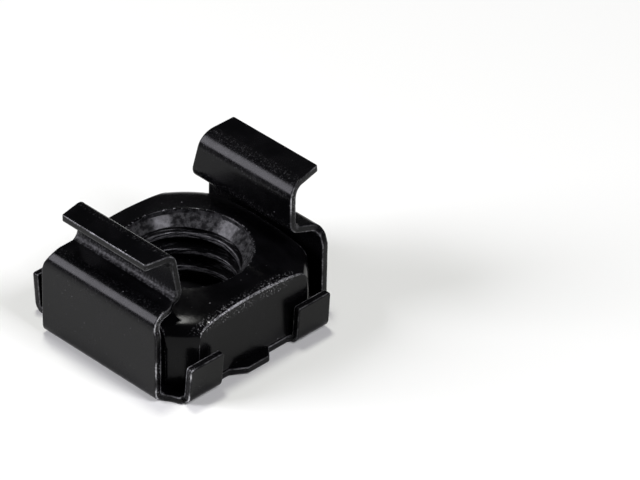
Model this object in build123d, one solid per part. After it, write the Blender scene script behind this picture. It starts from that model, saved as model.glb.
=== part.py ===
from build123d import *
import math
import os

# Cage nut for a square panel hole: a loose square nut in a cage folded from
# one piece of spring steel. Millimetres.
#
# Frame: +Z is the thread axis and points to the panel, the origin is on that
# axis at the underside of the base plate. +X points to the ear with the long
# lip, -X to the ear with the short lip, Y runs along the ears.

os.makedirs("parts", exist_ok=True)

# ------------------------------------------------------------ sheet
SHEET_T = 0.50            # thickness of the spring steel
BEND_R = 0.65             # outside radius of the bends round the base
BASE_HALF_X = 7.26        # outside faces of the two walls
WALL_HALF_Y = 5.02        # half width of a wall
GROOVE_R = 0.40           # inside radius at the root of the panel groove
SHOULDER_HALF_Y = 4.42    # half width of the shoulder, at the wall
NECK_HALF_Y = 4.33        # half width at the root of the groove
EAR_HALF_Y = 4.32         # half width of an ear at its foot
EAR_FOOT = (4.70, 7.00)   # where that is measured, X and Z

# the upper corners of a wall are rounded: height and half width
WALL_CORNER = [(4.60, 5.02), (4.80, 5.01), (5.00, 4.95), (5.20, 4.88)]

# long-lipped ear, on +X
LONG_SHOULDER_R = 0.90    # outside radius of the bend from wall to shoulder
LONG_BEND_Z = 5.33        # height at which that bend begins
LONG_RISE = 18.0          # rise of the shoulder towards the groove, degrees
LONG_SHOULDER = 1.26      # flat length of the shoulder
LONG_LEAN = 8.0           # lean of the riser, outwards, degrees
LONG_RISER = 1.441        # straight length of the riser
LONG_TURN = 76.0          # turn from riser to lip, degrees
LONG_BEND_R = 0.75        # radius under the lip
LONG_LIP = 1.606          # straight length of the lip
LONG_NARROW = (0.13, 0.115)  # narrowing, each side, per mm up and per mm out

# short-lipped ear, on -X
SHORT_SHOULDER_R = 1.10
SHORT_BEND_Z = 5.160
SHORT_RISE = 5.0
SHORT_SHOULDER = 0.943
SHORT_LEAN = 4.0
SHORT_RISER = 1.81
SHORT_TURN = 86.0
SHORT_BEND_R = 0.20
SHORT_LIP = 1.52
SHORT_NARROW = (0.15, 0.18)

# half widths round the bend from wall to shoulder, evenly spaced in angle
LONG_BEND_HALF_Y = {1: [4.83, 4.635, 4.485, SHOULDER_HALF_Y], -1: [4.83, 4.635, 4.485, SHOULDER_HALF_Y]}
SHORT_BEND_HALF_Y = {1: [4.895, 4.655, 4.47, SHOULDER_HALF_Y], -1: [4.89, 4.84, 4.82, 4.84]}
# a shoulder that is wider than the ear keeps its width to here, then narrows to the neck
WIDE_TO_X, WIDE_LOSS = 5.75, 0.06

LIP_CORNER_R = 0.22       # rounding of the free corners of both lips

# ------------------------------------------------------------ base plate
HOLE_R = 4.05             # clearance hole under the nut
BASE_EDGE_Y = 6.03        # open edge of the base between two tabs
TAB_TOP_Z = 2.71          # top of the tabs
TAB_CORNER_R = 0.18
TAB_ROOT_R = 0.28         # rounding where a tab leaves the open edge
# tabs: side of X, side of Y, from |X|, to |X|, |Y| where the bend begins, lean
TABS = [
    (-1, -1, 3.25, 5.97, 6.00, 5.0),
    (1, -1, 3.10, 5.80, 6.01, 3.0),
    (-1, 1, 3.25, 5.97, 6.45, 5.0),
    (1, 1, 3.10, 5.80, 6.20, 5.0),
]
STUB_Y = 6.67             # stub left by the stamping strip on each open edge
STUB_ROOT = (-2.10, 1.25) # its foot along X
STUB_TOP = (-1.10, 0.70)  # its top along X

# ------------------------------------------------------------ nut
NUT_HALF = 6.00           # half the width across flats
NUT_CORNER_R = 7.55       # round that the four corners lie on
NUT_CREST_Z = 5.42        # highest ring, at the mouth of the bore
# crowned top from that ring to the corner round: radius and height
NUT_CROWN = [
    (5.10, 5.20), (6.00, 5.00), (6.55, 4.85), (7.14, 4.60), (7.33, 4.38), (7.46, 4.02), (7.55, 3.30),
]
THREAD_MAJOR_R = 4.00     # M8 x 1.25
THREAD_MINOR_R = 3.32
SINK_R = 4.16             # mouth of the bore, panel side
CONE_R, CONE_Z = 4.12, 5.12  # top of the 45 degree countersink, under a steep lip
SINK_BACK_R = 3.90        # mouth of the countersink, base side
NUT_FOOT_CHAMFER = 0.15


def folded_half(segments, thickness):
    """Closed XZ face of a folded sheet that starts at the origin along +X.

    The path is the outside face. Positive turns are to the left, and the
    sheet lies on the left of the path.
    """
    x, z, heading = 0.0, 0.0, 0.0
    outer, inner = [], []

    def left(px, pz, h, d):
        return px - d * math.sin(h), pz + d * math.cos(h)

    for kind, *v in segments:
        start_out = (x, z)
        start_in = left(x, z, heading, thickness)
        if kind == "line":
            x += v[0] * math.cos(heading)
            z += v[0] * math.sin(heading)
            outer.append(Line(start_out, (x, z)))
            inner.append(Line(start_in, left(x, z, heading, thickness)))
        else:
            turn, radius = math.radians(v[0]), v[1]
            sign = 1.0 if turn > 0 else -1.0
            cx, cz = left(x, z, heading, sign * radius)

            def at(h, r):
                # point at radius r round the centre where the path heads h
                return cx + sign * r * math.sin(h), cz - sign * r * math.cos(h)

            r_in = radius - sign * thickness
            h0, h1 = heading, heading + turn
            mid = 0.5 * (h0 + h1)
            outer.append(ThreePointArc(at(h0, radius), at(mid, radius), at(h1, radius)))
            inner.append(ThreePointArc(at(h0, r_in), at(mid, r_in), at(h1, r_in)))
            heading = h1
            x, z = at(h1, radius)
    end_in = left(x, z, heading, thickness)
    caps = [Line((x, z), end_in), Line((0, 0), (0, thickness))]
    return Plane.XZ * make_face(outer + inner + caps)


def ear_section(bend_z, shoulder_r, rise, shoulder, lean, riser, turn, bend_r, lip):
    return folded_half(
        [
            ("line", BASE_HALF_X - BEND_R),
            ("arc", 90, BEND_R),
            ("line", bend_z - BEND_R),
            ("arc", 90 - rise, shoulder_r),
            ("line", shoulder),
            ("arc", -(90 - rise + lean), GROOVE_R),
            ("line", riser),
            ("arc", -turn, bend_r),
            ("line", lip),
        ],
        SHEET_T,
    )


def side(shape, sign):
    """The same shape on the other side of Y, or itself."""
    return shape if sign > 0 else mirror(shape, about=Plane.XZ)


def corner_cut(bend_z, half_y):
    """What the rounded upper corner of the wall leaves out, below the bend."""
    below = [(y, z) for z, y in WALL_CORNER if z < bend_z - 0.1]
    curve = Spline(*below, (half_y, bend_z), tangents=[(0, 1), (-0.40, 0.92)])
    z0 = WALL_CORNER[0][0]
    face = make_face([
        curve, Line((half_y, bend_z), (9.0, bend_z)), Line((9.0, bend_z), (9.0, z0)),
        Line((9.0, z0), (WALL_CORNER[0][1], z0)),
    ])
    return extrude(Plane.YZ.offset(6.0) * face, amount=3.0)


def bend_cut(bend_z, radius, rise, half_y):
    """The same, round the bend from wall to shoulder."""
    cx = BASE_HALF_X - radius
    r0, r1 = radius - SHEET_T - 0.08, radius + 0.15
    faces = []
    for i, w in enumerate(half_y):
        a = math.radians((90 - rise) * i / (len(half_y) - 1))
        plane = Plane(
            origin=(cx, 0, bend_z), x_dir=(math.cos(a), 0, math.sin(a)), z_dir=(-math.sin(a), 0, math.cos(a))
        )
        # local X runs outwards from the bend axis, local Y along +Y
        faces.append(plane * make_face(Polyline((r0, w), (r1, w), (r1, 7.0), (r0, 7.0), close=True)))
    return loft(faces)


def ear_cut(narrow):
    """The part of one ear beyond its sloping edge."""
    up, out = narrow
    corners = []
    for x in (3.0, 9.0):
        for z in (5.9, 11.0):
            y = EAR_HALF_Y - up * (z - EAR_FOOT[1]) - out * (x - EAR_FOOT[0])
            corners.append((x, y, z))
    (a, b, c, d) = [Vector(*p) for p in corners]     # x0z0, x0z1, x1z0, x1z1
    far = 9.0
    a2, b2, c2, d2 = [Vector(p.X, far, p.Z) for p in (a, b, c, d)]

    def quad(*pts):
        return Face(Wire.make_polygon(list(pts), close=True))

    wedge = Solid(Shell([
        quad(a, b, d, c), quad(a2, b2, d2, c2), quad(a, b, b2, a2), quad(c, d, d2, c2), quad(a, c, c2, a2), quad(b, d, d2, b2),
    ]))
    region = extrude(
        Plane.XZ * make_face(Polyline((3.0, 6.1), (5.20, 6.1), (5.20, 7.0), (9.0, 7.0), (9.0, 10.9), (3.0, 10.9), close=True)),
        amount=10.0, both=True,
    )
    return wedge & region


def wall_with_ear(section, bend_z, radius, rise, half_y, narrow, lip_z):
    """Half of the folded strip, drawn to +X, with its outline trimmed."""
    strip = extrude(section, amount=WALL_HALF_Y, both=True)
    x_flat = BASE_HALF_X - radius + radius * math.sin(math.radians(rise))
    for s in (1, -1):
        wide = half_y[s][-1]
        edge = [(x_flat, 9.0), (x_flat, wide)]
        if wide > SHOULDER_HALF_Y + 0.1:
            edge.append((WIDE_TO_X, wide - WIDE_LOSS))
        edge += [(5.20, NECK_HALF_Y), (3.5, NECK_HALF_Y), (3.5, 9.0)]
        shoulder_cut = extrude(Pos(0, 0, 5.4) * make_face(Polyline(*edge, close=True)), amount=1.6)
        strip -= side(corner_cut(bend_z, half_y[s][0]), s)
        strip -= side(bend_cut(bend_z, radius, rise, half_y[s]), s)
        strip -= side(shoulder_cut, s)
        strip -= side(ear_cut(narrow), s)
    tip_x = strip.bounding_box().max.X if lip_z > 9.5 else max(v.X for v in strip.vertices() if v.Z > 8.5)
    corners = [
        e for e in strip.edges()
        if e.center().X > tip_x - 0.15 and e.center().Z > 8.5 and abs(e.center().Y) > 3.0
        and abs(e.length - SHEET_T) < 0.03
    ]
    assert len(corners) == 2, len(corners)
    return fillet(corners, LIP_CORNER_R)


# ------------------------------------------------------------ cage
long_ear = wall_with_ear(
    ear_section(LONG_BEND_Z, LONG_SHOULDER_R, LONG_RISE, LONG_SHOULDER, LONG_LEAN, LONG_RISER, LONG_TURN, LONG_BEND_R,
                LONG_LIP),
    LONG_BEND_Z, LONG_SHOULDER_R, LONG_RISE, LONG_BEND_HALF_Y, LONG_NARROW, 9.7,
)
short_ear = wall_with_ear(
    ear_section(SHORT_BEND_Z, SHORT_SHOULDER_R, SHORT_RISE, SHORT_SHOULDER, SHORT_LEAN, SHORT_RISER, SHORT_TURN,
                SHORT_BEND_R, SHORT_LIP),
    SHORT_BEND_Z, SHORT_SHOULDER_R, SHORT_RISE, SHORT_BEND_HALF_Y, SHORT_NARROW, 9.2,
)
short_ear = mirror(short_ear, about=Plane.YZ)

# flat of the base outside the strip: corner points, tabs' feet, stubs
flat_edge = [
    (-6.80, WALL_HALF_Y - 0.2), (-6.78, WALL_HALF_Y + 0.06), (-6.47, 5.50), (-6.32, 5.90), (-6.17, 6.22), (-5.93, 6.22),
    (-5.90, BASE_EDGE_Y), (STUB_ROOT[0], BASE_EDGE_Y), (STUB_TOP[0], STUB_Y), (STUB_TOP[1], STUB_Y),
    (STUB_ROOT[1], BASE_EDGE_Y), (5.90, BASE_EDGE_Y), (5.93, 6.22), (6.17, 6.22), (6.32, 5.90), (6.47, 5.50),
    (6.78, WALL_HALF_Y + 0.06), (6.80, WALL_HALF_Y - 0.2),
]
flat_face = make_face(Polyline(*flat_edge, close=True))
radii = {(-6.47, 5.50): 0.25, (-6.17, 6.22): 0.06, (6.47, 5.50): 0.25, (6.17, 6.22): 0.06,
         (STUB_ROOT[0], BASE_EDGE_Y): 0.45, (STUB_TOP[0], STUB_Y): 0.22,
         (STUB_TOP[1], STUB_Y): 0.20, (STUB_ROOT[1], BASE_EDGE_Y): 0.16}
for (px, py), r in radii.items():
    v = [q for q in flat_face.vertices() if abs(q.X - px) < 1e-6 and abs(q.Y - py) < 1e-6]
    flat_face = fillet(v, r)
flat = extrude(flat_face, amount=SHEET_T)


def tab(x0, x1, bend_y, lean):
    """One tab at the +X +Y corner: an L folded up from the base."""
    run = (TAB_TOP_Z - BEND_R * (1 - math.sin(math.radians(lean)))) / math.cos(math.radians(lean))
    section = folded_half([("line", bend_y), ("arc", 90 - lean, BEND_R), ("line", run)], SHEET_T)
    # section lies in XZ: turn it to YZ and give it the width of the tab and
    # some more, so that its root can be rounded
    blank = extrude(section, amount=(x1 - x0 + 0.6))
    blank = Pos(x0 - 0.6, 0, 0) * Rot(0, 0, 90) * blank
    blank &= Pos((x0 + x1) / 2, 7.0, 0) * Box(8.0, 4.0, 20.0)
    c45 = math.cos(math.pi / 4)
    root, root_y = x0 - TAB_ROOT_R, BASE_EDGE_Y + TAB_ROOT_R
    root_cut = extrude(
        make_face([
            Line((x0, 9.0), (x0, root_y)),
            ThreePointArc((x0, root_y), (root + TAB_ROOT_R * c45, root_y - TAB_ROOT_R * c45), (root, BASE_EDGE_Y)),
            Line((root, BASE_EDGE_Y), (x0 - 1.0, BASE_EDGE_Y)),
            Line((x0 - 1.0, BASE_EDGE_Y), (x0 - 1.0, 9.0)),
            Line((x0 - 1.0, 9.0), (x0, 9.0)),
        ]),
        amount=5.0,
    )
    piece = blank - Pos(0, 0, -0.5) * root_cut
    piece -= Pos(x0 - 0.5, 7.0, BEND_R + 2.0) * Box(1.0, 2.4, 4.0)
    top = max(v.Z for v in piece.vertices())
    corners = [
        e for e in piece.edges()
        if e.center().Z > top - 0.1 and abs(e.length - SHEET_T) < 1e-3 and abs(e.center().Z - piece.bounding_box().max.Z) < 0.06
    ]
    assert len(corners) == 2, len(corners)
    return fillet(corners, TAB_CORNER_R)


cage = long_ear + short_ear
for s in (1, -1):
    cage += side(flat, s)
for sx, sy, x0, x1, bend_y, lean in TABS:
    piece = side(tab(x0, x1, bend_y, lean), sy)
    cage += piece if sx > 0 else mirror(piece, about=Plane.YZ)
cage -= Cylinder(HOLE_R, 4 * SHEET_T)
cage = cage.clean()

# ------------------------------------------------------------ square nut
nut_z0 = SHEET_T
sink_z = CONE_Z - (CONE_R - THREAD_MINOR_R)
sink_back_z = nut_z0 + (SINK_BACK_R - THREAD_MINOR_R)
crown = Spline((SINK_R, NUT_CREST_Z), *NUT_CROWN, tangents=[(0.96, -0.27), (0, -1)])
foot = Polyline(
    NUT_CROWN[-1], (NUT_CORNER_R, nut_z0 + NUT_FOOT_CHAMFER), (NUT_CORNER_R - NUT_FOOT_CHAMFER, nut_z0),
    (SINK_BACK_R, nut_z0), (THREAD_MINOR_R, sink_back_z), (THREAD_MINOR_R, sink_z), (CONE_R, CONE_Z),
    (SINK_R, NUT_CREST_Z),
)
turned = make_face([crown] + list(foot.edges()))
turned = revolve(Plane.XZ * turned, axis=Axis.Z)
block = Pos(0, 0, nut_z0) * Box(
    2 * NUT_HALF, 2 * NUT_HALF, 2 * NUT_CREST_Z, align=(Align.CENTER, Align.CENTER, Align.MIN)
)
square_nut = turned & block

for name, shape in (("cage", cage), ("square_nut", square_nut)):
    solids = shape.solids()
    assert len(solids) == 1, (name, len(solids))
    export_step(solids[0], f"parts/{name}.step")
    print(name, round(shape.volume, 2), shape.bounding_box())
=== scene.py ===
import math

import bmesh
import bpy
import numpy as np
from mathutils import Matrix, Vector, geometry, noise


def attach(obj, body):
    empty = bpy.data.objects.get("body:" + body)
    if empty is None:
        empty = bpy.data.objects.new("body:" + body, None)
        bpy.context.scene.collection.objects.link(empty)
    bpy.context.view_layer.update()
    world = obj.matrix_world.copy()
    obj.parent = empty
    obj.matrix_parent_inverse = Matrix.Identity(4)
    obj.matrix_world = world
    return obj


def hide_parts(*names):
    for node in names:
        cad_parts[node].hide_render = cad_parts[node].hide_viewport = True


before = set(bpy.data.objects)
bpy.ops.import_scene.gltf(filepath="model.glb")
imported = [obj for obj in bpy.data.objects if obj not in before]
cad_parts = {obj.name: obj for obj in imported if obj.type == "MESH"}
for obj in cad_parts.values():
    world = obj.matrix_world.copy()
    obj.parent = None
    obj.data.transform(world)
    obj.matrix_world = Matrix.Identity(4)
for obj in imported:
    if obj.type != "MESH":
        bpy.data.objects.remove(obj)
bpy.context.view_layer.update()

MM = 0.001
rng = np.random.default_rng(7)


# ------------------------------------------------------------------ cage
# The cage is drawn as the flat blank that it is punched from, in (a, b): a
# runs along the strip, b across it. The blank is meshed flat and then folded,
# so every cut edge keeps its true distance and every bend its true radius.

T = 0.50
BEND_R = 0.65
HALF_X = 7.26
WALL_HALF = 5.02
EDGE_Y = 6.03
HOLE_R = 4.05
BURR = 0.075              # rounding of the punched edges
GROOVE_R = 0.40

EARS = {
    1: dict(bend_z=5.33, shoulder_r=0.90, rise=18.0, shoulder=1.26, lean=8.0, riser=1.441, turn=76.0, bend_r=0.75,
            lip=1.606, narrow=(0.13, 0.115), bend_half={1: [4.83, 4.635, 4.485, 4.42], -1: [4.83, 4.635, 4.485, 4.42]}),
    -1: dict(bend_z=5.160, shoulder_r=1.10, rise=5.0, shoulder=0.943, lean=4.0, riser=1.81, turn=86.0, bend_r=0.20,
             lip=1.52, narrow=(0.15, 0.18), bend_half={1: [4.895, 4.655, 4.47, 4.42], -1: [4.89, 4.84, 4.82, 4.84]}),
}
WALL_CORNER = [(0.65, 5.02), (4.60, 5.02), (4.80, 5.01), (5.00, 4.95), (5.20, 4.88)]
TABS = {
    (-1, -1): (3.25, 5.97, 6.00, 5.0),
    (1, -1): (3.10, 5.80, 6.01, 3.0),
    (-1, 1): (3.25, 5.97, 6.45, 5.0),
    (1, 1): (3.10, 5.80, 6.20, 5.0),
}
TAB_TOP = 2.71
TAB_ROOT_R = 0.28


class Path:
    """The outside line of a folded strip: arc length to place and normal."""

    def __init__(self, segments):
        self.parts = []
        x, z, h, s = 0.0, 0.0, 0.0, 0.0
        for kind, *v in segments:
            if kind == "line":
                self.parts.append((s, s + v[0], "line", x, z, h, 0.0, 0.0))
                x += v[0] * math.cos(h)
                z += v[0] * math.sin(h)
                s += v[0]
            else:
                turn, r = math.radians(v[0]), v[1]
                sg = 1.0 if turn > 0 else -1.0
                cx, cz = x - sg * r * math.sin(h), z + sg * r * math.cos(h)
                length = abs(turn) * r
                self.parts.append((s, s + length, "arc", cx, cz, h, sg, r))
                h += turn
                s += length
                x, z = cx + sg * r * math.sin(h), cz - sg * r * math.cos(h)
        self.length = s
        self.knots = [p[0] for p in self.parts] + [s]

    def at(self, s):
        """Point, unit tangent angle and signed curvature at each length in s."""
        s = np.asarray(s, float)
        x = np.zeros_like(s)
        z = np.zeros_like(s)
        h = np.zeros_like(s)
        k = np.zeros_like(s)
        for i, (s0, s1, kind, px, pz, ph, sg, r) in enumerate(self.parts):
            m = (s >= s0) if i == len(self.parts) - 1 else (s >= s0) & (s < s1)
            d = s[m] - s0
            if kind == "line":
                x[m] = px + d * math.cos(ph)
                z[m] = pz + d * math.sin(ph)
                h[m] = ph
            else:
                hh = ph + sg * d / r
                x[m] = px + sg * r * np.sin(hh)
                z[m] = pz - sg * r * np.cos(hh)
                h[m] = hh
                k[m] = sg / r
        return x, z, h, k


def ear_path(e):
    return Path([
        ("line", HALF_X - BEND_R), ("arc", 90, BEND_R), ("line", e["bend_z"] - BEND_R),
        ("arc", 90 - e["rise"], e["shoulder_r"]), ("line", e["shoulder"]),
        ("arc", -(90 - e["rise"] + e["lean"]), GROOVE_R), ("line", e["riser"]),
        ("arc", -e["turn"], e["bend_r"]), ("line", e["lip"]),
    ])


def tab_path(bend_y, lean):
    run = (TAB_TOP - BEND_R * (1 - math.sin(math.radians(lean)))) / math.cos(math.radians(lean))
    return Path([("line", bend_y), ("arc", 90 - lean, BEND_R), ("line", run)])


ear_paths = {sx: ear_path(e) for sx, e in EARS.items()}
tab_paths = {key: tab_path(v[2], v[3]) for key, v in TABS.items()}


def ear_outline(sx, sy):
    """Half widths along one ear, from the foot of the wall to the tip."""
    e, path = EARS[sx], ear_paths[sx]
    k = path.knots
    pts = []
    # wall and its rounded upper corner: heights become lengths
    corner = [p for p in WALL_CORNER if p[0] < e["bend_z"] - 0.1]
    zs = [p[0] for p in corner] + [e["bend_z"]]
    ws = [p[1] for p in corner] + [e["bend_half"][sy][0]]
    fine = np.linspace(4.60, e["bend_z"], 12)
    # a smooth curve through the corner points
    coef = np.polyfit(zs[1:], ws[1:], 3)
    pts.append((k[2], WALL_HALF))
    for z in fine:
        w = WALL_HALF if z <= 4.62 else min(WALL_HALF, float(np.polyval(coef, z)))
        pts.append((k[2] + z - BEND_R, w))
    n = 9
    bh = e["bend_half"][sy]
    for i in range(1, n + 1):
        t = i / n * 3
        j = min(int(t), 2)
        f = t - j
        p0, p1, p2, p3 = bh[max(j - 1, 0)], bh[j], bh[j + 1], bh[min(j + 2, 3)]
        w = 0.5 * (2 * p1 + (p2 - p0) * f + (2 * p0 - 5 * p1 + 4 * p2 - p3) * f * f + (3 * p1 - p0 - 3 * p2 + p3) * f ** 3)
        pts.append((k[3] + (k[4] - k[3]) * i / n, w))
    up, out = e["narrow"]
    if bh[3] > 4.52:
        # a wide shoulder keeps its width, then narrows to the neck
        for f, w in ((0.18, bh[3] - 0.02), (0.36, bh[3] - 0.045), (0.50, bh[3] - 0.085), (0.64, bh[3] - 0.16), (0.80, bh[3] - 0.27)):
            pts.append((k[4] + (k[5] - k[4]) * f, w))
        pts.append((k[5] - 0.02, 4.43))
    else:
        pts.append((k[5] - 0.02, 4.345))
    for s in np.concatenate([np.linspace(k[5] + 0.12, k[6], 5), np.linspace(k[6] + 0.1, k[7], 8), np.linspace(k[7], k[8], 6)[1:],
                             np.linspace(k[8], k[9], 8)[1:]]):
        x, z, h, _ = path.at(np.array([s]))
        # the middle of the sheet
        mx, mz = x[0] - 0.5 * T * math.sin(h[0]), z[0] + 0.5 * T * math.cos(h[0])
        pts.append((s, 4.32 - up * (mz - 7.0) - out * (mx - 4.7)))
    return pts


def rounded(poly, radii):
    """Polygon with its corners rounded, as a dense list of points."""
    out = []
    n = len(poly)
    for i in range(n):
        p, a, b = np.array(poly[i]), np.array(poly[i - 1]), np.array(poly[(i + 1) % n])
        r = radii[i]
        va, vb = a - p, b - p
        la, lb = np.hypot(*va), np.hypot(*vb)
        va, vb = va / la, vb / lb
        cosang = float(np.clip(va @ vb, -1, 1))
        ang = math.acos(cosang)
        if r <= 0 or ang > math.pi - 0.02:
            out.append(p)
            continue
        d = r / math.tan(ang / 2)
        lim = 0.49 * min(la, lb)
        if d > lim:
            d = lim
            r = d * math.tan(ang / 2)
        bis = va + vb
        bis /= np.hypot(*bis)
        c = p + bis * r / math.sin(ang / 2)
        p0, p1 = p + va * d, p + vb * d
        a0 = math.atan2(*(p0 - c)[::-1])
        a1 = math.atan2(*(p1 - c)[::-1])
        da = (a1 - a0 + math.pi) % (2 * math.pi) - math.pi
        m = max(2, int(abs(da) / math.radians(9)) + 1)
        for j in range(m + 1):
            t = a0 + da * j / m
            out.append(c + r * np.array([math.cos(t), math.sin(t)]))
    return np.array(out)


def outline():
    pts, rad = [], []

    def quadrant(sx, sy):
        """Corner points from the middle of the open edge to the tip of the ear."""
        x0, x1, bend_y, lean = TABS[(sx, sy)]
        top = tab_paths[(sx, sy)].length
        q = []
        if sx > 0:
            q += [((0.70, 6.67), 0.20), ((1.25, EDGE_Y), 0.16)]
        else:
            q += [((1.10, 6.67), 0.22), ((2.10, EDGE_Y), 0.45)]
        q += [((x0, EDGE_Y), TAB_ROOT_R), ((x0, top), 0.18), ((x1, top), 0.18)]
        if x1 > 5.93:
            q += [((x1, 6.20), 0.0)]
        else:
            q += [((x1, 6.06), 0.05), ((5.93, 6.06), 0.05)]
        q += [((max(x1, 5.93) + 0.02, 6.22), 0.03)] if x1 < 5.93 else [((x1 + 0.02, 6.20), 0.0)]
        q += [((6.17, 6.22), 0.09), ((6.32, 5.90), 0.0), ((6.47, 5.50), 0.25), ((6.80, 5.06), 0.10)]
        q += [((6.86, WALL_HALF), 0.08)]
        ear = ear_outline(sx, sy)
        q += [((s, w), 0.0) for s, w in ear[:-1]]
        q += [((ear[-1][0], ear[-1][1]), 0.22)]
        return q

    order = [(1, 1, False), (1, -1, True), (-1, -1, False), (-1, 1, True)]
    for sx, sy, back in order:
        q = quadrant(sx, sy)
        q = [((sx * p[0], sy * p[1]), r) for p, r in q]
        if back:
            q = q[::-1]
        pts += [p for p, _ in q]
        rad += [r for _, r in q]
    return rounded(pts, rad)


def resample(loop, step):
    """Closed loop with no piece longer than step, and none tiny."""
    out = []
    n = len(loop)
    for i in range(n):
        p, q = loop[i], loop[(i + 1) % n]
        d = np.hypot(*(q - p))
        m = max(1, int(math.ceil(d / step)))
        for j in range(m):
            out.append(p + (q - p) * j / m)
    out = np.array(out)
    keep = [out[0]]
    for p in out[1:]:
        if np.hypot(*(p - keep[-1])) > 0.012:
            keep.append(p)
    if np.hypot(*(keep[0] - keep[-1])) < 0.012:
        keep.pop()
    return np.array(keep)


def signed_area(loop):
    x, y = loop[:, 0], loop[:, 1]
    return 0.5 * float(np.sum(x * np.roll(y, -1) - np.roll(x, -1) * y))


def inward(loop, e):
    """Each point moved inwards (to the left of a counter-clockwise loop)."""
    d0 = loop - np.roll(loop, 1, axis=0)
    d1 = np.roll(loop, -1, axis=0) - loop
    d0 /= np.maximum(np.hypot(d0[:, 0], d0[:, 1]), 1e-9)[:, None]
    d1 /= np.maximum(np.hypot(d1[:, 0], d1[:, 1]), 1e-9)[:, None]
    n0 = np.c_[-d0[:, 1], d0[:, 0]]
    n1 = np.c_[-d1[:, 1], d1[:, 0]]
    n = n0 + n1
    n /= np.maximum(np.hypot(n[:, 0], n[:, 1]), 1e-9)[:, None]
    c = np.maximum((n * n0).sum(1), 0.6)
    return loop + n * (e / c)[:, None]


def inside(points, loop):
    x, y = points[:, 0][:, None], points[:, 1][:, None]
    x0, y0 = loop[:, 0][None], loop[:, 1][None]
    x1, y1 = np.roll(loop[:, 0], -1)[None], np.roll(loop[:, 1], -1)[None]
    res = np.zeros(len(points), bool)
    for c in range(0, len(points), 2000):
        xs, ys = x[c:c + 2000], y[c:c + 2000]
        cond = (y0 > ys) != (y1 > ys)
        dy = np.where(np.abs(y1 - y0) < 1e-12, 1e-12, y1 - y0)
        cross = xs < (x1 - x0) * (ys - y0) / dy + x0
        res[c:c + 2000] = (np.sum(cond & cross, axis=1) % 2) == 1
    return res


def distance(points, loops):
    seg0 = np.concatenate(loops)
    seg1 = np.concatenate([np.roll(l, -1, axis=0) for l in loops])
    d = seg1 - seg0
    l2 = np.maximum((d ** 2).sum(1), 1e-12)
    out = np.zeros(len(points))
    for c in range(0, len(points), 1000):
        p = points[c:c + 1000]
        w = p[:, None, :] - seg0[None]
        t = np.clip((w * d[None]).sum(2) / l2[None], 0, 1)
        e = w - t[..., None] * d[None]
        out[c:c + 1000] = np.sqrt((e ** 2).sum(2).min(1))
    return out


def fold(a, b, d):
    """Blank (a, b) at depth d above the outside face, to the folded shape."""
    x = np.zeros_like(a)
    y = b.astype(float).copy()
    z = np.asarray(d, float).copy()
    k = np.zeros_like(a)
    for sx in (1, -1):
        m = (a * sx) >= 0
        px, pz, h, kk = ear_paths[sx].at(np.abs(a[m]))
        x[m] = sx * (px - d[m] * np.sin(h))
        z[m] = pz + d[m] * np.cos(h)
        k[m] = kk
    for (sx, sy), path in tab_paths.items():
        m = (a * sx > 2.6) & (np.abs(a) < 6.5) & (b * sy > path.parts[0][1])
        py, pz, h, kk = path.at(np.abs(b[m]))
        y[m] = sy * (py - d[m] * np.sin(h))
        z[m] = pz + d[m] * np.cos(h)
        k[m] = kk
    return np.c_[x, y, z], k


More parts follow.
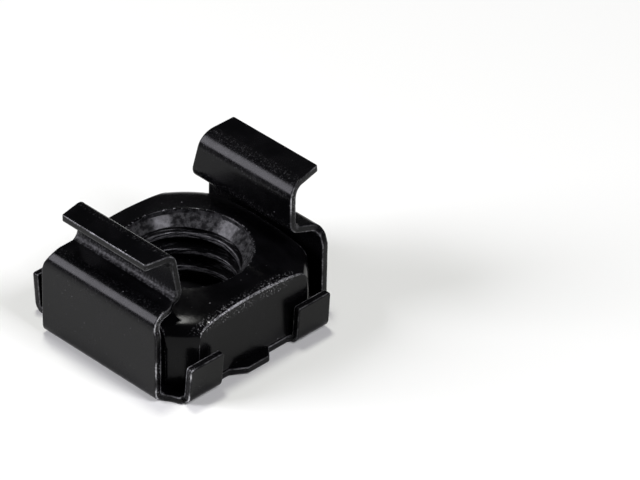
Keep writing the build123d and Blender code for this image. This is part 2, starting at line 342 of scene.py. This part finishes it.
def build_cage():
    rim = resample(outline(), 0.11)
    if signed_area(rim) < 0:
        rim = rim[::-1]
    n_h = 200
    th = -np.arange(n_h) / n_h * 2 * math.pi
    hole = np.c_[HOLE_R * np.cos(th), HOLE_R * np.sin(th)]
    loops = [rim, hole]
    steps = [0.0, 0.018, 0.045, BURR, 0.135]
    pts, dist = [], []
    for loop in loops:
        for e in steps:
            ring = inward(loop, e) if e else loop
            if e:
                dr = distance(ring, loops)
                ok = dr > e * 0.93
                ring, dr = ring[ok], dr[ok]
                pts.append(ring)
                dist.append(np.full(len(ring), e))
            else:
                pts.append(ring)
                dist.append(np.zeros(len(ring)))
    # interior points in rows that follow the bends
    rows = []
    for sx in (1, -1):
        path = ear_paths[sx]
        for s0, s1, kind, *_ in path.parts:
            if kind == "arc":
                r = _[4]
                m = max(6, int((s1 - s0) / max(0.06, r * math.radians(7.5))))
            else:
                m = max(2, int((s1 - s0) / 0.24))
            rows += [sx * (s0 + (s1 - s0) * j / m) for j in range(m)]
        rows.append(sx * path.length)
    rows = sorted(set(round(r, 5) for r in rows))
    cols = np.arange(-5.2, 5.21, 0.26)
    grid = [(a, b + (0.13 if i % 2 else 0.0)) for i, a in enumerate(rows) for b in cols]
    # tabs and open edges: rows across b
    for (sx, sy), (x0, x1, bend_y, lean) in TABS.items():
        path = tab_paths[(sx, sy)]
        bs = list(np.linspace(5.3, bend_y, 4))
        s0, s1 = path.parts[1][0], path.parts[1][1]
        bs += list(np.linspace(s0, s1, 13))[1:]
        bs += list(np.linspace(s1, path.length, 9))[1:]
        for b in bs:
            for a in np.arange(x0 - 0.3, x1 + 0.5, 0.24):
                grid.append((sx * a, sy * b))
    for b in (5.3, 5.55, 5.8, 6.05, 6.3):
        for a in np.arange(-2.9, 3.0, 0.25):
            grid += [(a, b), (a, -b)]
    grid = np.array(grid)
    ok = inside(grid, rim) & ~inside(grid, hole)
    grid = grid[ok]
    dg = distance(grid, loops)
    ok = dg > 0.2
    grid, dg = grid[ok], dg[ok]
    # no two points closer than a little
    key = {}
    sel = []
    for i, p in enumerate(grid):
        q = (int(round(p[0] / 0.07)), int(round(p[1] / 0.07)))
        if q in key:
            continue
        key[q] = 1
        sel.append(i)
    grid, dg = grid[sel], dg[sel]
    pts.append(grid)
    dist.append(dg)
    P = np.concatenate(pts)
    D = np.concatenate(dist)
    # constrained edges: the two loops
    edges = []
    ofs = 0
    for loop in loops:
        n = len(loop)
        edges += [(ofs + i, ofs + (i + 1) % n) for i in range(n)]
        ofs += sum(len(x) for x in pts[:0])
        ofs += 0
        break
    # index of the second loop's first point
    base = 0
    starts = []
    it = iter(pts)
    idx = 0
    for loop in loops:
        starts.append(idx)
        for _ in steps:
            idx += len(next(it))
    n = len(hole)
    edges += [(starts[1] + i, starts[1] + (i + 1) % n) for i in range(n)]
    V, E, F, ov, oe, of_ = geometry.delaunay_2d_cdt([Vector(p) for p in P], edges, [], 0, 1e-6, True)
    V = np.array([(v[0], v[1]) for v in V])
    first = [o[0] if o else -1 for o in ov]
    DV = np.array([D[i] if i >= 0 else 0.0 for i in first])
    F = np.array([f for f in F if len(f) == 3])
    cen = V[F].mean(1)
    F = F[inside(cen, rim) & ~inside(cen, hole)]
    ar = (V[F[:, 1]] - V[F[:, 0]])
    br = (V[F[:, 2]] - V[F[:, 0]])
    F[(ar[:, 0] * br[:, 1] - ar[:, 1] * br[:, 0]) < 0] = F[(ar[:, 0] * br[:, 1] - ar[:, 1] * br[:, 0]) < 0][:, ::-1]
    used = np.unique(F)
    remap = -np.ones(len(V), int)
    remap[used] = np.arange(len(used))
    V, DV, F = V[used], DV[used], remap[F]
    # edges used once are the rim
    ee = np.concatenate([F[:, [0, 1]], F[:, [1, 2]], F[:, [2, 0]]])
    keys = {}
    for u, v in ee:
        k2 = (min(u, v), max(u, v))
        keys[k2] = keys.get(k2, 0) + 1
    border = [(u, v) for u, v in ee if keys[(min(u, v), max(u, v))] == 1]
    drop = np.where(DV < BURR, BURR - np.sqrt(np.maximum(BURR ** 2 - (BURR - DV) ** 2, 0)), 0.0)
    n = len(V)
    lower, _ = fold(V[:, 0], V[:, 1], drop)
    upper, kk = fold(V[:, 0], V[:, 1], T - drop)
    verts = [lower, upper]
    edge_mm = [DV, DV]
    depth = [np.zeros(n), np.ones(n)]
    curv = [kk, kk]
    flat = [V, V]
    # the punched edge itself: two more rows of points
    rim_ids = sorted(set(u for u, v in border) | set(v for u, v in border))
    rows_d = [0.19, 0.33]
    mids = []
    for t in rows_d:
        w = V[rim_ids]
        m, _ = fold(w[:, 0], w[:, 1], np.full(len(w), t))
        mids.append(dict(zip(rim_ids, range(sum(len(x) for x in verts), sum(len(x) for x in verts) + len(w)))))
        verts.append(m)
        edge_mm.append(np.zeros(len(w)))
        depth.append(np.full(len(w), t / T))
        curv.append(kk[rim_ids])
        flat.append(w)
    faces = [tuple(f[::-1]) for f in F] + [tuple(f + n) for f in F]
    for u, v in border:
        ladder = [(u, v), (mids[0][u], mids[0][v]), (mids[1][u], mids[1][v]), (u + n, v + n)]
        for (a0, a1), (b0, b1) in zip(ladder[:-1], ladder[1:]):
            faces.append((a0, a1, b1, b0))
    V3 = np.concatenate(verts)
    me = bpy.data.meshes.new("cage_sheet")
    me.from_pydata((V3 * MM).tolist(), [], [tuple(int(i) for i in f) for f in faces])
    me.update()
    att = me.attributes.new("edge_mm", "FLOAT", "POINT")
    att.data.foreach_set("value", np.concatenate(edge_mm).astype(np.float32))
    att = me.attributes.new("depth", "FLOAT", "POINT")
    att.data.foreach_set("value", np.concatenate(depth).astype(np.float32))
    att = me.attributes.new("bend", "FLOAT", "POINT")
    c = np.concatenate(curv)
    dd = np.concatenate(depth)
    # positive where the sheet's face bulges: outside of left turns, inside of right turns
    bulge = np.where(dd < 0.5, c, -c)
    att.data.foreach_set("value", np.clip(bulge, -3, 3).astype(np.float32))
    att = me.attributes.new("blank", "FLOAT_VECTOR", "POINT")
    fl = np.concatenate(flat)
    att.data.foreach_set("vector", np.c_[fl, dd * T].astype(np.float32).ravel())
    o = bpy.data.objects.new("cage_sheet", me)
    bpy.context.scene.collection.objects.link(o)
    me.shade_smooth()
    return o


# ------------------------------------------------------------------ nut
NUT_HALF = 6.0
NUT_R = 7.55
CREST_Z = 5.42
FOOT_Z = 0.50
MINOR_R, MAJOR_R, PITCH = 3.32, 4.00, 1.25
SINK_R, SINK_BACK_R = 4.16, 3.90
CROWN = [(4.16, 5.42), (5.10, 5.20), (6.00, 5.00), (6.55, 4.85),
         (7.14, 4.60), (7.33, 4.38), (7.46, 4.02), (7.55, 3.30)]
THREAD_PHASE = 0.08
CONE_R, CONE_Z = 4.12, 5.12      # a steep lip above the 45 degree countersink


def crown_z(r):
    xs = np.array([p[0] for p in CROWN])
    zs = np.array([p[1] for p in CROWN])
    # shape-preserving cubic through the points
    h = np.diff(xs)
    m = np.diff(zs) / h
    t = np.zeros(len(xs))
    t[1:-1] = np.where(m[:-1] * m[1:] > 0, 2 * m[:-1] * m[1:] / (m[:-1] + m[1:]), 0)
    t[0], t[-1] = m[0] * 1.1, m[-1] * 1.6
    i = np.clip(np.searchsorted(xs, r) - 1, 0, len(h) - 1)
    s = (r - xs[i]) / h[i]
    return ((1 + 2 * s) * (1 - s) ** 2 * zs[i] + s * (1 - s) ** 2 * h[i] * t[i]
            + s * s * (3 - 2 * s) * zs[i + 1] + s * s * (s - 1) * h[i] * t[i + 1])


def build_nut():
    n_t = 480
    th = (np.arange(n_t) + 0.5) / n_t * 2 * math.pi
    c, s = np.abs(np.cos(th)), np.abs(np.sin(th))
    flat_r = NUT_HALF / np.maximum(c, s)
    # flats and the corner round, with a small blend where they meet
    k = 0.018
    R = -k * np.log(np.exp(-(flat_r - 7.0) / k) + np.exp(-(NUT_R - 7.0) / k)) + 7.0
    on_flat = np.clip((NUT_R - flat_r) / 0.06, 0, 1)
    wob = np.array([noise.noise(Vector((math.cos(t) * 3, math.sin(t) * 3, 1.7))) for t in th])
    # worn rounding where the crown meets a flat; the corner rounds itself
    e_r = 0.10 + 0.03 * wob
    rings = []           # (r, z, arris, zone)

    def add(r, z, arris, zone):
        rings.append((np.broadcast_to(r, n_t).astype(float), np.broadcast_to(z, n_t).astype(float),
                      np.broadcast_to(arris, n_t).astype(float), np.broadcast_to(zone, n_t).astype(float)))

    sink_z = CONE_Z - (CONE_R - MINOR_R)
    back_z = FOOT_Z + (SINK_BACK_R - MINOR_R)
    # the last groove runs out into the countersink
    runout = np.interp(th, [0, math.pi / 2, math.pi * 1.5, math.pi * 2], [4.09, 4.40, 4.40, 4.09])
    # bore, from the foot to the mouth
    n_b = 128
    zz = np.linspace(FOOT_Z + 0.02, CREST_Z - 0.10, n_b)
    for z in zz:
        ph = ((z - THREAD_PHASE) / PITCH - th / (2 * math.pi)) % 1.0
        d = np.minimum(ph, 1 - ph)
        t = np.clip((d - 0.125) / (0.4375 - 0.125), 0, 1)
        # crest and root slightly softened, as rolled and plated threads are
        t = t * 0.86 + 0.14 * (t * t * (3 - 2 * t))
        fade = np.clip((z - runout) / 0.26, 0, 1)
        r_thread = MINOR_R + (MAJOR_R - MINOR_R) * t * (1 - 0.85 * fade * fade * (3 - 2 * fade))
        r_sink = MINOR_R + max(0.0, min(z, CONE_Z) - sink_z) + 0.13 * max(0.0, z - CONE_Z)
        r_back = MINOR_R + max(0.0, back_z - z)
        kk = 0.018
        cone = max(r_sink, r_back)
        r = kk * np.log(np.exp((r_thread - 3.6) / kk) + np.exp((cone - 3.6) / kk)) + 3.6
        r = np.minimum(r, SINK_R - 0.01 if z > 3 else SINK_BACK_R - 0.01)
        arris = np.clip(1 - np.maximum(d - 0.125, 0) / 0.06, 0, 1) * (r_thread > cone - 0.02)
        add(r, z, arris, np.where((r_thread > cone) | (z < sink_z - 0.02), 1.0, 0.8))
    # mouth: small rounding, then crown
    r_lip = rings[-1][0]
    lip_r = np.maximum(SINK_R + 0.10 - r_lip, 0.05)
    for j in range(1, 7):
        a = j / 6 * math.radians(74)
        add(r_lip + lip_r * (1 - math.cos(a)) * 0.72 + lip_r * 0.28 * j / 6, CREST_Z - 0.10 + 0.092 * math.sin(a) / math.sin(math.radians(74)),
            0.45 if j > 2 else 0.3, 0.5)
    r_out = rings[-1][0]
    z_out = rings[-1][1]
    for u in np.linspace(0.02, 1.0, 26):
        r = r_out + (R - e_r * 1.35 - r_out) * u
        z_c = crown_z(r)
        add(r, z_c + (z_out - crown_z(r_out)) * (1 - u) ** 14, np.where(u > 0.97, 0.6, 0.0) * on_flat, 0.0)
    # arris between crown and side
    r0 = R - e_r * 1.35
    for j in range(1, 7):
        a = j / 6 * math.pi / 2
        r_arc = r0 + (R - r0) * math.sin(a)
        drop = e_r * 1.25 * (1 - math.cos(a))
        # on the corner the crown curve itself is the rounding
        z_flat = crown_z(r0) - (crown_z(r0) - crown_z(np.minimum(R, NUT_R))) * math.sin(a) * 0.35 - drop
        z_corner = crown_z(np.minimum(r_arc, NUT_R))
        z = z_flat * on_flat + z_corner * (1 - on_flat)
        add(r_arc, z, on_flat * (1.0 if 1 < j < 6 else 0.6), 0.0)
    z_top = rings[-1][1]
    foot_e = 0.09
    for j in range(1, 15):
        u = j / 14
        z = z_top + (FOOT_Z + foot_e - z_top) * u
        add(R, z, np.where(u < 0.1, 0.3, 0.0) * on_flat, -1.0)
    for j in range(1, 4):
        a = j / 3 * math.pi / 2
        add(R - foot_e * (1 - math.cos(a)) , FOOT_Z + foot_e * (1 - math.sin(a)), 0.7, -1.0)
    r_in = SINK_BACK_R
    for u in np.linspace(0.08, 1.0, 8):
        add(R - foot_e + (r_in + 0.02 - R + foot_e) * u, FOOT_Z, 0.0, -1.5)
    n_r = len(rings)
    V = np.zeros((n_r, n_t, 3))
    A = np.zeros((n_r, n_t))
    Z = np.zeros((n_r, n_t))
    for i, (r, z, a, zone) in enumerate(rings):
        V[i, :, 0], V[i, :, 1], V[i, :, 2] = r * np.cos(th), r * np.sin(th), z
        A[i], Z[i] = a, zone
    ids = np.arange(n_r * n_t).reshape(n_r, n_t)
    i0, i1 = ids, np.roll(ids, -1, axis=0)
    f = np.stack([i0, i1, np.roll(i1, -1, axis=1), np.roll(i0, -1, axis=1)], axis=2).reshape(-1, 4)
    # vertical arrises between flats and corner rounds
    turn = np.clip(1 - np.abs(flat_r - NUT_R) / 0.09, 0, 1)
    for i, (r, z, a, zone) in enumerate(rings):
        if zone[0] == -1.0:
            A[i] = np.maximum(A[i], turn)
    me = bpy.data.meshes.new("nut_threaded")
    me.from_pydata((V.reshape(-1, 3) * MM).tolist(), [], f.tolist())
    me.update()
    for name, val in (("arris", A), ("zone", Z)):
        att = me.attributes.new(name, "FLOAT", "POINT")
        att.data.foreach_set("value", val.reshape(-1).astype(np.float32))
    o = bpy.data.objects.new("nut_threaded", me)
    bpy.context.scene.collection.objects.link(o)
    bm = bmesh.new()
    bm.from_mesh(me)
    bmesh.ops.recalc_face_normals(bm, faces=bm.faces)
    bm.to_mesh(me)
    bm.free()
    me.shade_smooth()
    return o


# ------------------------------------------------------------------ materials
class Nodes:
    def __init__(self, name):
        self.mat = bpy.data.materials.new(name)
        self.mat.use_nodes = True
        self.t = self.mat.node_tree
        self.t.nodes.clear()
        self.out = self.t.nodes.new("ShaderNodeOutputMaterial")
        self.bsdf = self.t.nodes.new("ShaderNodeBsdfPrincipled")
        self.t.links.new(self.bsdf.outputs[0], self.out.inputs[0])

    def n(self, kind, **kw):
        node = self.t.nodes.new(kind)
        for k, v in kw.items():
            setattr(node, k, v)
        return node

    def link(self, a, b):
        self.t.links.new(a, b)

    def attr(self, name, vector=False):
        a = self.n("ShaderNodeAttribute", attribute_name=name)
        return a.outputs["Vector"] if vector else a.outputs["Fac"]

    def noise(self, vec, scale, detail=4.0, rough=0.55, dim="3D"):
        a = self.n("ShaderNodeTexNoise", noise_dimensions=dim)
        a.inputs["Scale"].default_value = scale
        a.inputs["Detail"].default_value = detail
        a.inputs["Roughness"].default_value = rough
        self.link(vec, a.inputs["Vector"])
        return a.outputs["Fac"]

    def ramp(self, value, lo, hi, a=0.0, b=1.0, smooth=True):
        m = self.n("ShaderNodeMapRange")
        if smooth:
            m.interpolation_type = "SMOOTHSTEP"
        m.inputs["From Min"].default_value = lo
        m.inputs["From Max"].default_value = hi
        m.inputs["To Min"].default_value = a
        m.inputs["To Max"].default_value = b
        self.link(value, m.inputs["Value"])
        return m.outputs["Result"]

    def math(self, op, a, b=None):
        m = self.n("ShaderNodeMath", operation=op)
        for i, v in enumerate((a, b)):
            if v is None:
                continue
            if isinstance(v, (int, float)):
                m.inputs[i].default_value = v
            else:
                self.link(v, m.inputs[i])
        return m.outputs[0]

    def clamp(self, a):
        m = self.n("ShaderNodeClamp")
        self.link(a, m.inputs["Value"])
        return m.outputs[0]

    def mix(self, fac, a, b):
        m = self.n("ShaderNodeMix", data_type="RGBA")
        self.link(fac, m.inputs["Factor"]) if not isinstance(fac, (int, float)) else setattr(m.inputs["Factor"], "default_value", fac)
        for sock, v in ((m.inputs[6], a), (m.inputs[7], b)):
            if isinstance(v, tuple):
                sock.default_value = (*v, 1.0)
            else:
                self.link(v, sock)
        return m.outputs[2]


def coords(nd):
    """Place on the object in millimetres."""
    tc = nd.n("ShaderNodeTexCoord")
    mp = nd.n("ShaderNodeMapping")
    mp.inputs["Scale"].default_value = (1000.0, 1000.0, 1000.0)
    nd.link(tc.outputs["Object"], mp.inputs["Vector"])
    return mp.outputs["Vector"]


def rubbed(nd, p, spots):
    """Soft patches, in place on the object, where handling has worn the plating."""
    total = None
    for (x, y, z), reach in spots:
        d = nd.n("ShaderNodeVectorMath", operation="DISTANCE")
        nd.link(p, d.inputs[0])
        d.inputs[1].default_value = (x, y, z)
        m = nd.ramp(d.outputs["Value"], reach * 0.25, reach, 1.0, 0.0)
        total = m if total is None else nd.math("MAXIMUM", total, m)
    return total


def black_steel(name, wear, crazed, relief_depth, matt, specular, polished=None):
    """Black plated steel: dark glossy film, bright metal where it has worn through."""
    nd = Nodes(name)
    p = coords(nd)
    blot = nd.noise(p, 0.55, 3.0)
    fine = nd.noise(p, 14.0, 5.0, 0.6)
    grit = nd.noise(p, 42.0, 2.0, 0.5)
    wear_fac = wear(nd, p, blot, fine, grit)
    film = nd.mix(nd.ramp(blot, 0.35, 0.7), (0.0014, 0.0014, 0.0017), (0.0026, 0.0025, 0.0030))
    film = nd.mix(nd.ramp(fine, 0.58, 0.8), film, (0.0045, 0.0045, 0.0055))
    metal = nd.mix(nd.ramp(fine, 0.3, 0.75), (0.46, 0.46, 0.48), (0.90, 0.90, 0.92))
    nd.link(nd.mix(wear_fac, film, metal), nd.bsdf.inputs["Base Color"])
    nd.link(nd.ramp(wear_fac, 0.0, 0.9, 0.0, 0.92, smooth=False), nd.bsdf.inputs["Metallic"])
    rough = nd.math("ADD", nd.ramp(fine, 0.3, 0.75, 0.17, 0.27), nd.ramp(blot, 0.3, 0.7, -0.03, 0.05))
    rough = nd.math("ADD", rough, nd.math("MULTIPLY", wear_fac, 0.20))
    h = nd.math("ADD", nd.math("MULTIPLY", fine, 0.5), nd.math("MULTIPLY", grit, 0.25))
    h = nd.math("SUBTRACT", h, nd.math("MULTIPLY", wear_fac, 0.25))
    where, relief = crazed(nd, p)
    rough = nd.math("ADD", rough, nd.math("MULTIPLY", where, matt))
    if polished is not None:
        rough = nd.math("SUBTRACT", rough, nd.math("MULTIPLY", polished(nd), 0.09))
    h = nd.math("ADD", h, nd.math("MULTIPLY", where, nd.math("MULTIPLY", relief, relief_depth)))
    nd.link(rough, nd.bsdf.inputs["Roughness"])
    nd.bsdf.inputs["IOR"].default_value = 1.5
    nd.bsdf.inputs["Specular IOR Level"].default_value = specular
    b = nd.n("ShaderNodeBump")
    b.inputs["Strength"].default_value = 0.30
    b.inputs["Distance"].default_value = 0.007 * MM
    nd.link(h, b.inputs["Height"])
    nd.link(b.outputs[0], nd.bsdf.inputs["Normal"])
    return nd.mat


def specks(nd, p, scale, size, seed):
    v = nd.n("ShaderNodeTexVoronoi", feature="F1")
    mp = nd.n("ShaderNodeMapping")
    mp.inputs["Location"].default_value = (seed, seed * 1.7, seed * 0.6)
    nd.link(p, mp.inputs["Vector"])
    nd.link(mp.outputs[0], v.inputs["Vector"])
    v.inputs["Scale"].default_value = scale
    dot = nd.ramp(v.outputs["Distance"], size * 0.5, size, 1.0, 0.0)
    sep = nd.n("ShaderNodeSeparateColor")
    nd.link(v.outputs["Color"], sep.inputs[0])
    rare = nd.ramp(sep.outputs[0], 0.80, 0.84)
    return nd.math("MULTIPLY", dot, rare)


# handling marks on the cage: the wall's upper corner and edge, the lip's corner, the tabs
lip_x, lip_z, _, _ = ear_paths[-1].at(np.array([ear_paths[-1].length - 0.1]))
far_x, far_z, _, _ = ear_paths[1].at(np.array([ear_paths[1].knots[7]]))
CAGE_SPOTS = [
    ((-7.05, -4.75, 5.75), 1.30), ((-7.26, -5.0, 2.4), 1.1), ((-7.26, -5.0, 0.6), 0.9),
    ((-float(lip_x[0]), -4.1, float(lip_z[0])), 0.85),
    ((-5.97, -6.60, 2.9), 0.75), ((-5.97, -6.60, 2.2), 0.60), ((-5.97, -6.60, 0.5), 0.75),
    ((float(far_x[0]), -4.1, float(far_z[0]) - 0.1), 1.3),
]


def cage_wear(nd, p, blot, fine, grit):
    edge = nd.attr("edge_mm")
    bend = nd.attr("bend")
    depth = nd.attr("depth")
    # the arrises of the punched edge: a thin broken line of bare metal
    to_face = nd.math("MINIMUM", depth, nd.math("SUBTRACT", 1.0, depth))
    line = nd.math("MULTIPLY", nd.ramp(edge, 0.008, 0.050, 1.0, 0.0), nd.ramp(to_face, 0.02, 0.15, 1.0, 0.0))
    spot = rubbed(nd, p, CAGE_SPOTS)
    patch = nd.ramp(nd.noise(p, 0.8, 4.0, 0.6), 0.38, 0.64, 0.14, 0.85)
    patch = nd.math("MAXIMUM", patch, spot)
    # the arris on the hollow side of the strip is the more worn one
    side = nd.math("MAXIMUM", nd.ramp(depth, 0.3, 0.7, 0.40, 1.0), spot)
    line = nd.math("MULTIPLY", line, side)
    broken = nd.ramp(nd.noise(p, 5.0, 3.0), 0.38, 0.62, 0.35, 1.0)
    gain = nd.math("ADD", 0.42, nd.math("MULTIPLY", spot, 0.45))
    e = nd.math("MULTIPLY", nd.math("MULTIPLY", line, patch), nd.math("MULTIPLY", broken, gain))
    # crumbs of bare metal beside the arris
    crumb = nd.ramp(nd.noise(p, 10.0, 4.0, 0.7), 0.56, 0.66)
    near = nd.math("MULTIPLY", nd.ramp(edge, 0.04, 0.17, 1.0, 0.0), nd.math("MULTIPLY", crumb, 0.40))
    e = nd.math("MAXIMUM", e, nd.math("MULTIPLY", near, nd.math("MULTIPLY", patch, nd.math("ADD", 0.15, spot))))
    # outside of tight bends: a speckle of worn plating
    b = nd.math("MULTIPLY", nd.ramp(bend, 0.3, 1.6), nd.ramp(nd.noise(p, 7.0, 5.0, 0.75), 0.52, 0.72))
    b = nd.math("MULTIPLY", b, 0.065)
    # root of the grooves: crazed plating
    craze = nd.noise(p, 5.0, 5.0, 0.7)
    g = nd.math("MULTIPLY", nd.ramp(bend, -2.2, -0.6, 1.0, 0.0), nd.ramp(craze, 0.44, 0.62, 0.008, 0.10))
    s = nd.math("MAXIMUM", specks(nd, p, 1.15, 0.06, 3.1), nd.math("MULTIPLY", specks(nd, p, 2.4, 0.07, 9.3), 0.6))
    return nd.clamp(nd.math("MAXIMUM", nd.math("MAXIMUM", e, b), nd.math("MAXIMUM", g, nd.math("MULTIPLY", s, 0.3))))


def cage_craze(nd, p):
    where = nd.ramp(nd.attr("bend"), -2.2, -0.4, 1.0, 0.0)
    return where, nd.noise(p, 4.2, 3.0, 0.6)


def nut_craze(nd, p):
    """Fine turned lines in the bore."""
    turned = nd.n("ShaderNodeMapping")
    turned.inputs["Scale"].default_value = (0.5, 0.5, 6.0)
    nd.link(p, turned.inputs["Vector"])
    return nd.ramp(nd.attr("zone"), 0.85, 0.97), nd.noise(turned.outputs[0], 2.2, 3.0, 0.6)


def nut_polish(nd):
    """The countersink is cut smoother than the rest."""
    zone = nd.attr("zone")
    return nd.math("MULTIPLY", nd.ramp(zone, 0.60, 0.74), nd.ramp(zone, 0.81, 0.88, 1.0, 0.0))


def nut_smooth(nd):
    """The crown is turned a little smoother than the flats, the countersink smoother still."""
    zone = nd.attr("zone")
    crown = nd.math("MULTIPLY", nd.ramp(zone, -0.3, -0.1), nd.ramp(zone, 0.1, 0.3, 1.0, 0.0))
    return nd.math("MAXIMUM", nut_polish(nd), nd.math("MULTIPLY", crown, 0.62))


NUT_SPOTS = [((-4.2, -6.0, 4.3), 2.3), ((-1.6, -6.0, 4.8), 2.4), ((1.4, -6.0, 4.9), 1.5), ((2.6, -5.6, 4.9), 1.1)]


def nut_wear(nd, p, blot, fine, grit):
    arris = nd.attr("arris")
    zone = nd.attr("zone")
    spot = rubbed(nd, p, NUT_SPOTS)
    sparkle = nd.ramp(nd.noise(p, 7.0, 5.0, 0.7), 0.42, 0.60, 0.04, 1.0)
    patch = nd.math("MAXIMUM", nd.ramp(nd.noise(p, 0.7, 3.0), 0.40, 0.62, 0.12, 0.55), spot)
    on_side = nd.ramp(zone, 0.1, 0.3, 1.0, 0.0)
    e = nd.math("MULTIPLY", nd.math("MULTIPLY", nd.ramp(arris, 0.55, 0.98), sparkle), nd.math("MULTIPLY", patch, on_side))
    in_bore = nd.ramp(zone, 0.85, 0.97)
    turned = nd.n("ShaderNodeMapping")
    turned.inputs["Scale"].default_value = (0.35, 0.35, 4.2)
    nd.link(p, turned.inputs["Vector"])
    lines = nd.noise(turned.outputs[0], 2.6, 4.0, 0.65)
    bore = nd.math("MULTIPLY", in_bore, nd.ramp(lines, 0.52, 0.72, 0.0, 0.07))
    crest = nd.math("MULTIPLY", nd.math("MULTIPLY", in_bore, nd.ramp(arris, 0.3, 0.9)), nd.ramp(lines, 0.42, 0.62, 0.0, 0.27))
    mouth = nd.math("MULTIPLY", nd.math("MULTIPLY", nd.ramp(zone, 0.2, 0.45), nd.ramp(zone, 0.55, 0.75, 1.0, 0.0)),
                    nd.ramp(nd.noise(p, 6.0, 5.0, 0.75), 0.54, 0.68, 0.0, 0.40))
    # crumbs of bare metal on the crown beside the worn arris
    flat_y = nd.n("ShaderNodeSeparateXYZ")
    nd.link(p, flat_y.inputs[0])
    beside = nd.math("MULTIPLY", nd.ramp(flat_y.outputs["Y"], -5.95, -5.35, 1.0, 0.0), nd.ramp(flat_y.outputs["Z"], 4.1, 4.4))
    crumb = nd.ramp(nd.noise(p, 8.0, 5.0, 0.75), 0.565, 0.64)
    near = nd.math("MULTIPLY", nd.math("MULTIPLY", beside, crumb), nd.math("MULTIPLY", spot, 0.8))
    # thin plating in the countersink
    thin = nd.math("MULTIPLY", nut_polish(nd), nd.ramp(nd.noise(p, 3.2, 4.0, 0.65), 0.36, 0.66, 0.012, 0.085))
    bore = nd.math("MAXIMUM", bore, thin)
    s = nd.math("MAXIMUM", specks(nd, p, 1.5, 0.08, 1.2), nd.math("MULTIPLY", specks(nd, p, 3.1, 0.08, 5.6), 0.7))
    m = nd.math("MAXIMUM", nd.math("MULTIPLY", e, 0.95), nd.math("MAXIMUM", bore, crest))
    return nd.clamp(nd.math("MAXIMUM", nd.math("MAXIMUM", m, mouth), nd.math("MAXIMUM", near, nd.math("MULTIPLY", s, 0.35))))


cage = build_cage()
nut = build_nut()
cage.data.materials.append(black_steel("black_plated_spring_steel", cage_wear, cage_craze, 7.0, 0.18, 0.128))
nut.data.materials.append(black_steel("black_plated_nut_steel", nut_wear, nut_craze, 3.0, 0.04, 0.124, nut_smooth))
for piece, node in ((cage, "cage"), (nut, "square_nut")):
    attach(piece, "root")
    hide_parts(node)

# ------------------------------------------------------------------ stage
floor_me = bpy.data.meshes.new("floor")
s = 0.6
floor_me.from_pydata([(-s, -s, 0), (s, -s, 0), (s, s, 0), (-s, s, 0)], [], [(0, 1, 2, 3)])
floor = bpy.data.objects.new("floor", floor_me)
bpy.context.scene.collection.objects.link(floor)
floor.location = (0, 0, -0.00001)
nd = Nodes("pale_floor")
# painted shade: the floor colour is palest under the object and greyer far away, standing in for light falling off
away = nd.n("ShaderNodeVectorMath", operation="LENGTH")
centre = nd.n("ShaderNodeVectorMath", operation="SUBTRACT")
nd.link(coords(nd), centre.inputs[0])
centre.inputs[1].default_value = (10.0, -5.0, 0.0)
nd.link(centre.outputs[0], away.inputs[0])
shade = nd.mix(nd.ramp(away.outputs["Value"], 39.0, 56.0), (0.925, 0.94, 0.888), (0.08, 0.08, 0.08))
# painted shadow: the floor is coloured near-black under the bore, as no light reaches it at the bottom of the bore
bottom = nd.n("ShaderNodeVectorMath", operation="LENGTH")
nd.link(coords(nd), bottom.inputs[0])
nd.link(nd.mix(nd.ramp(bottom.outputs["Value"], 4.2, 4.9), (0.01, 0.01, 0.01), shade), nd.bsdf.inputs["Base Color"])
nd.bsdf.inputs["Roughness"].default_value = 0.7
floor_me.materials.append(nd.mat)

world = bpy.data.worlds.new("studio")
bpy.context.scene.world = world
world.use_nodes = True
bg = world.node_tree.nodes["Background"]
bg.inputs["Color"].default_value = (1, 1, 1, 1)
bg.inputs["Strength"].default_value = 0.032


def softbox(name, direction, distance_m, size, power, across=None, aim=(0, 0, 0.004)):
    light = bpy.data.lights.new(name, "AREA")
    light.shape = "RECTANGLE"
    light.size, light.size_y = size
    light.energy = power
    o = bpy.data.objects.new(name, light)
    bpy.context.scene.collection.objects.link(o)
    d = Vector(direction).normalized()
    o.location = Vector(aim) + d * distance_m
    if across is None:
        o.rotation_euler = d.to_track_quat("Z", "Y").to_euler()
    else:
        y = d.cross(Vector(across)).normalized()
        o.rotation_euler = Matrix((y.cross(d), y, d)).transposed().to_euler()
    return o


# directions in the object's own frame; the camera looks from (-0.58, -0.57, 0.57)
left = softbox("left_box", (-0.697, 0.555, 0.454), 0.30, (0.138, 0.185), 0.90)
right = softbox("right_box", (0.09, -0.66, 0.75), 0.30, (0.10, 0.135), 0.52)
top = softbox("top_box", (0.098, 0.200, 0.975), 0.34, (0.046, 0.066), 0.43, across=(1, -1, 0))
top.data.color = (1.0, 0.995, 0.96)
for lamp in (left, right):
    lamp.data.color = (0.93, 0.91, 1.0)

# ------------------------------------------------------------------ camera
cam = bpy.data.cameras.new("camera")
cam.sensor_fit = "HORIZONTAL"
cam.sensor_width = 36.0
cam.lens = 36.0 * 5408.9 / 640.0
cam.clip_start, cam.clip_end = 0.01, 5.0
cam_o = bpy.data.objects.new("camera", cam)
bpy.context.scene.collection.objects.link(cam_o)
right = Vector((0.7088, -0.7052, 0.0176))
up = Vector((0.395, 0.4173, 0.8184))
back = Vector((-0.5845, -0.5731, 0.5743))
m = Matrix((right, up, back)).transposed().to_4x4()
m.translation = Vector((-186.02, -193.81, 194.55)) * MM
cam_o.matrix_world = m
bpy.context.scene.camera = cam_o
bpy.context.scene.view_settings.view_transform = "Standard"
bpy.context.scene.view_settings.look = "None"
